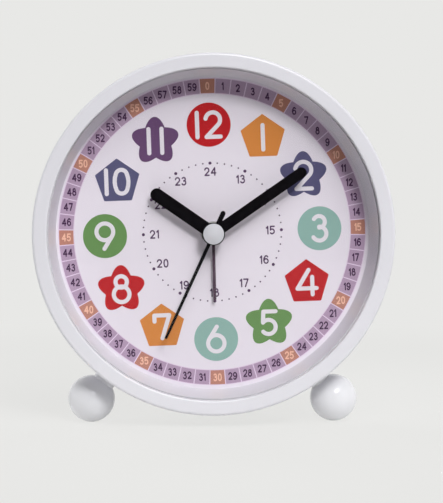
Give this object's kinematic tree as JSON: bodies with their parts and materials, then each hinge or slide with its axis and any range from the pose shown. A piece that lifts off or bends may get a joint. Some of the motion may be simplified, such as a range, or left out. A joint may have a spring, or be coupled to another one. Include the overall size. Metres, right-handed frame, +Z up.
{
  "type": "alarm clock",
  "caption": "Round white table alarm clock on ball feet, with a teaching dial of minute tiles and coloured hour badges, a geared quartz alarm movement and setting knobs behind.",
  "frame": {"origin": "on the floor, under the middle of the clock's width and depth", "axes": "+Z up; the dial faces -Y; +X to the right of someone looking at the dial"},
  "size_m": [0.11, 0.0494, 0.1137],
  "materials": {
    "shell_white": "moulded white plastic, semi gloss",
    "cover_white": "moulded white plastic, fine texture",
    "foot_white": "glossy white plastic",
    "knob_white": "moulded white plastic",
    "lens_clear": "clear polished plastic",
    "dial_white": "printed white sheet",
    "plate_white": "moulded white plastic",
    "hand_black": "aluminium, satin black paint",
    "alarm_plum": "aluminium, dark plum paint",
    "cap_ivory": "off-white plastic",
    "movement_plastic": "natural grey plastic",
    "gear_plastic": "natural acetal",
    "arbor_brass": "turned brass",
    "screw_steel": "zinc plated steel",
    "spring_steel": "spring steel",
    "contact_nickel": "nickel plated steel",
    "core_steel": "soft magnetic steel",
    "magnet_dark": "ferrite magnet",
    "bobbin_plastic": "moulded plastic",
    "copper_wire": "enamelled copper wire",
    "pin_brass": "tinned brass",
    "board_green": "green solder mask",
    "crystal_steel": "nickel can",
    "chip_black": "black resin",
    "buzzer_black": "black plastic can",
    "switch_black": "black plastic",
    "cell_wrap": "plain printed sleeve"
  },
  "bodies": {
    "case": {"bezel": "shell_white", "front_case": "shell_white", "rear_cover": "cover_white", "foot_left": "foot_white", "foot_right": "foot_white", "lens": "lens_clear", "dial": "dial_white", "dial_plate": "plate_white", "movement_base": "movement_plastic", "movement_lid": "movement_plastic", "cover_screws": "screw_steel", "foot_screws": "screw_steel", "lid_screws": "screw_steel", "movement_screws": "screw_steel", "contact_positive": "contact_nickel", "contact_negative": "contact_nickel", "stator": "core_steel", "coil_core": "core_steel", "coil_bobbin": "bobbin_plastic", "coil_winding": "copper_wire", "coil_pins": "pin_brass", "circuit_board": "board_green", "quartz_crystal": "crystal_steel", "clock_chip": "chip_black", "buzzer": "buzzer_black", "switch_body": "switch_black", "battery": "cell_wrap"},
    "time_setting": {"minute_wheel": "gear_plastic", "time_knob": "knob_white"},
    "minute": {"minute_hand": "hand_black", "minute_arbor": "arbor_brass", "clutch_spring": "spring_steel"},
    "hour": {"hour_hand": "hand_black", "hour_wheel": "gear_plastic"},
    "alarm_setting": {"alarm_set_arbor": "gear_plastic", "alarm_knob": "knob_white"},
    "alarm": {"alarm_hand": "alarm_plum", "alarm_wheel": "gear_plastic"},
    "seconds": {"second_hand": "hand_black", "second_hand_cap": "cap_ivory", "second_wheel": "gear_plastic"},
    "centre": {"centre_wheel": "gear_plastic"},
    "third": {"third_wheel": "gear_plastic"},
    "fifth": {"fifth_wheel": "gear_plastic"},
    "rotor": {"rotor_pinion": "gear_plastic", "rotor_magnet": "magnet_dark"},
    "switch": {"alarm_switch": "knob_white"},
    "door": {"battery_door": "cover_white"}
  },
  "joints": [
    {"name": "time_set_turn", "type": "hinge", "parent": "case", "child": "time_setting", "pos_m": [-0.00757, -0.01168, 0.06951], "axis": [0, 1, 0], "continuous": true},
    {"name": "minute_turn", "type": "hinge", "parent": "case", "child": "minute", "pos_m": [0, -0.01168, 0.05869], "axis": [0, 1, 0], "continuous": true},
    {"name": "hour_turn", "type": "hinge", "parent": "case", "child": "hour", "pos_m": [0, -0.01168, 0.05869], "axis": [0, 1, 0], "continuous": true},
    {"name": "alarm_set_turn", "type": "hinge", "parent": "case", "child": "alarm_setting", "pos_m": [0.01149, -0.01168, 0.06834], "axis": [0, 1, 0], "continuous": true},
    {"name": "alarm_turn", "type": "hinge", "parent": "case", "child": "alarm", "pos_m": [0, -0.01168, 0.05869], "axis": [0, 1, 0], "continuous": true},
    {"name": "second_turn", "type": "hinge", "parent": "case", "child": "seconds", "pos_m": [0, -0.01168, 0.05869], "axis": [0, 1, 0], "continuous": true},
    {"name": "centre_turn", "type": "hinge", "parent": "case", "child": "centre", "pos_m": [0, -0.01168, 0.05869], "axis": [0, 1, 0], "continuous": true},
    {"name": "third_turn", "type": "hinge", "parent": "case", "child": "third", "pos_m": [0.01104, -0.01168, 0.05232], "axis": [0, 1, 0], "continuous": true},
    {"name": "fifth_turn", "type": "hinge", "parent": "case", "child": "fifth", "pos_m": [-0.01255, -0.01168, 0.0576], "axis": [0, 1, 0], "continuous": true},
    {"name": "rotor_turn", "type": "hinge", "parent": "case", "child": "rotor", "pos_m": [-0.01501, -0.01168, 0.05083], "axis": [0, 1, 0], "continuous": true},
    {"name": "alarm_switch_slide", "type": "slide", "parent": "case", "child": "switch", "axis": [1, 0, 0], "range_m": [0, 0.004]},
    {"name": "battery_door_lift", "type": "slide", "parent": "case", "child": "door", "axis": [0, 1, 0], "range_m": [0, 0.03]}
  ],
  "couplings": [
    {"joint": "minute_turn", "follows": "time_set_turn", "ratio": -3},
    {"joint": "hour_turn", "follows": "time_set_turn", "ratio": -0.25},
    {"joint": "alarm_turn", "follows": "alarm_set_turn", "ratio": -0.4},
    {"joint": "third_turn", "follows": "second_turn", "ratio": -0.13333},
    {"joint": "centre_turn", "follows": "second_turn", "ratio": 0.016667},
    {"joint": "fifth_turn", "follows": "second_turn", "ratio": -6},
    {"joint": "rotor_turn", "follows": "second_turn", "ratio": 30}
  ]
}
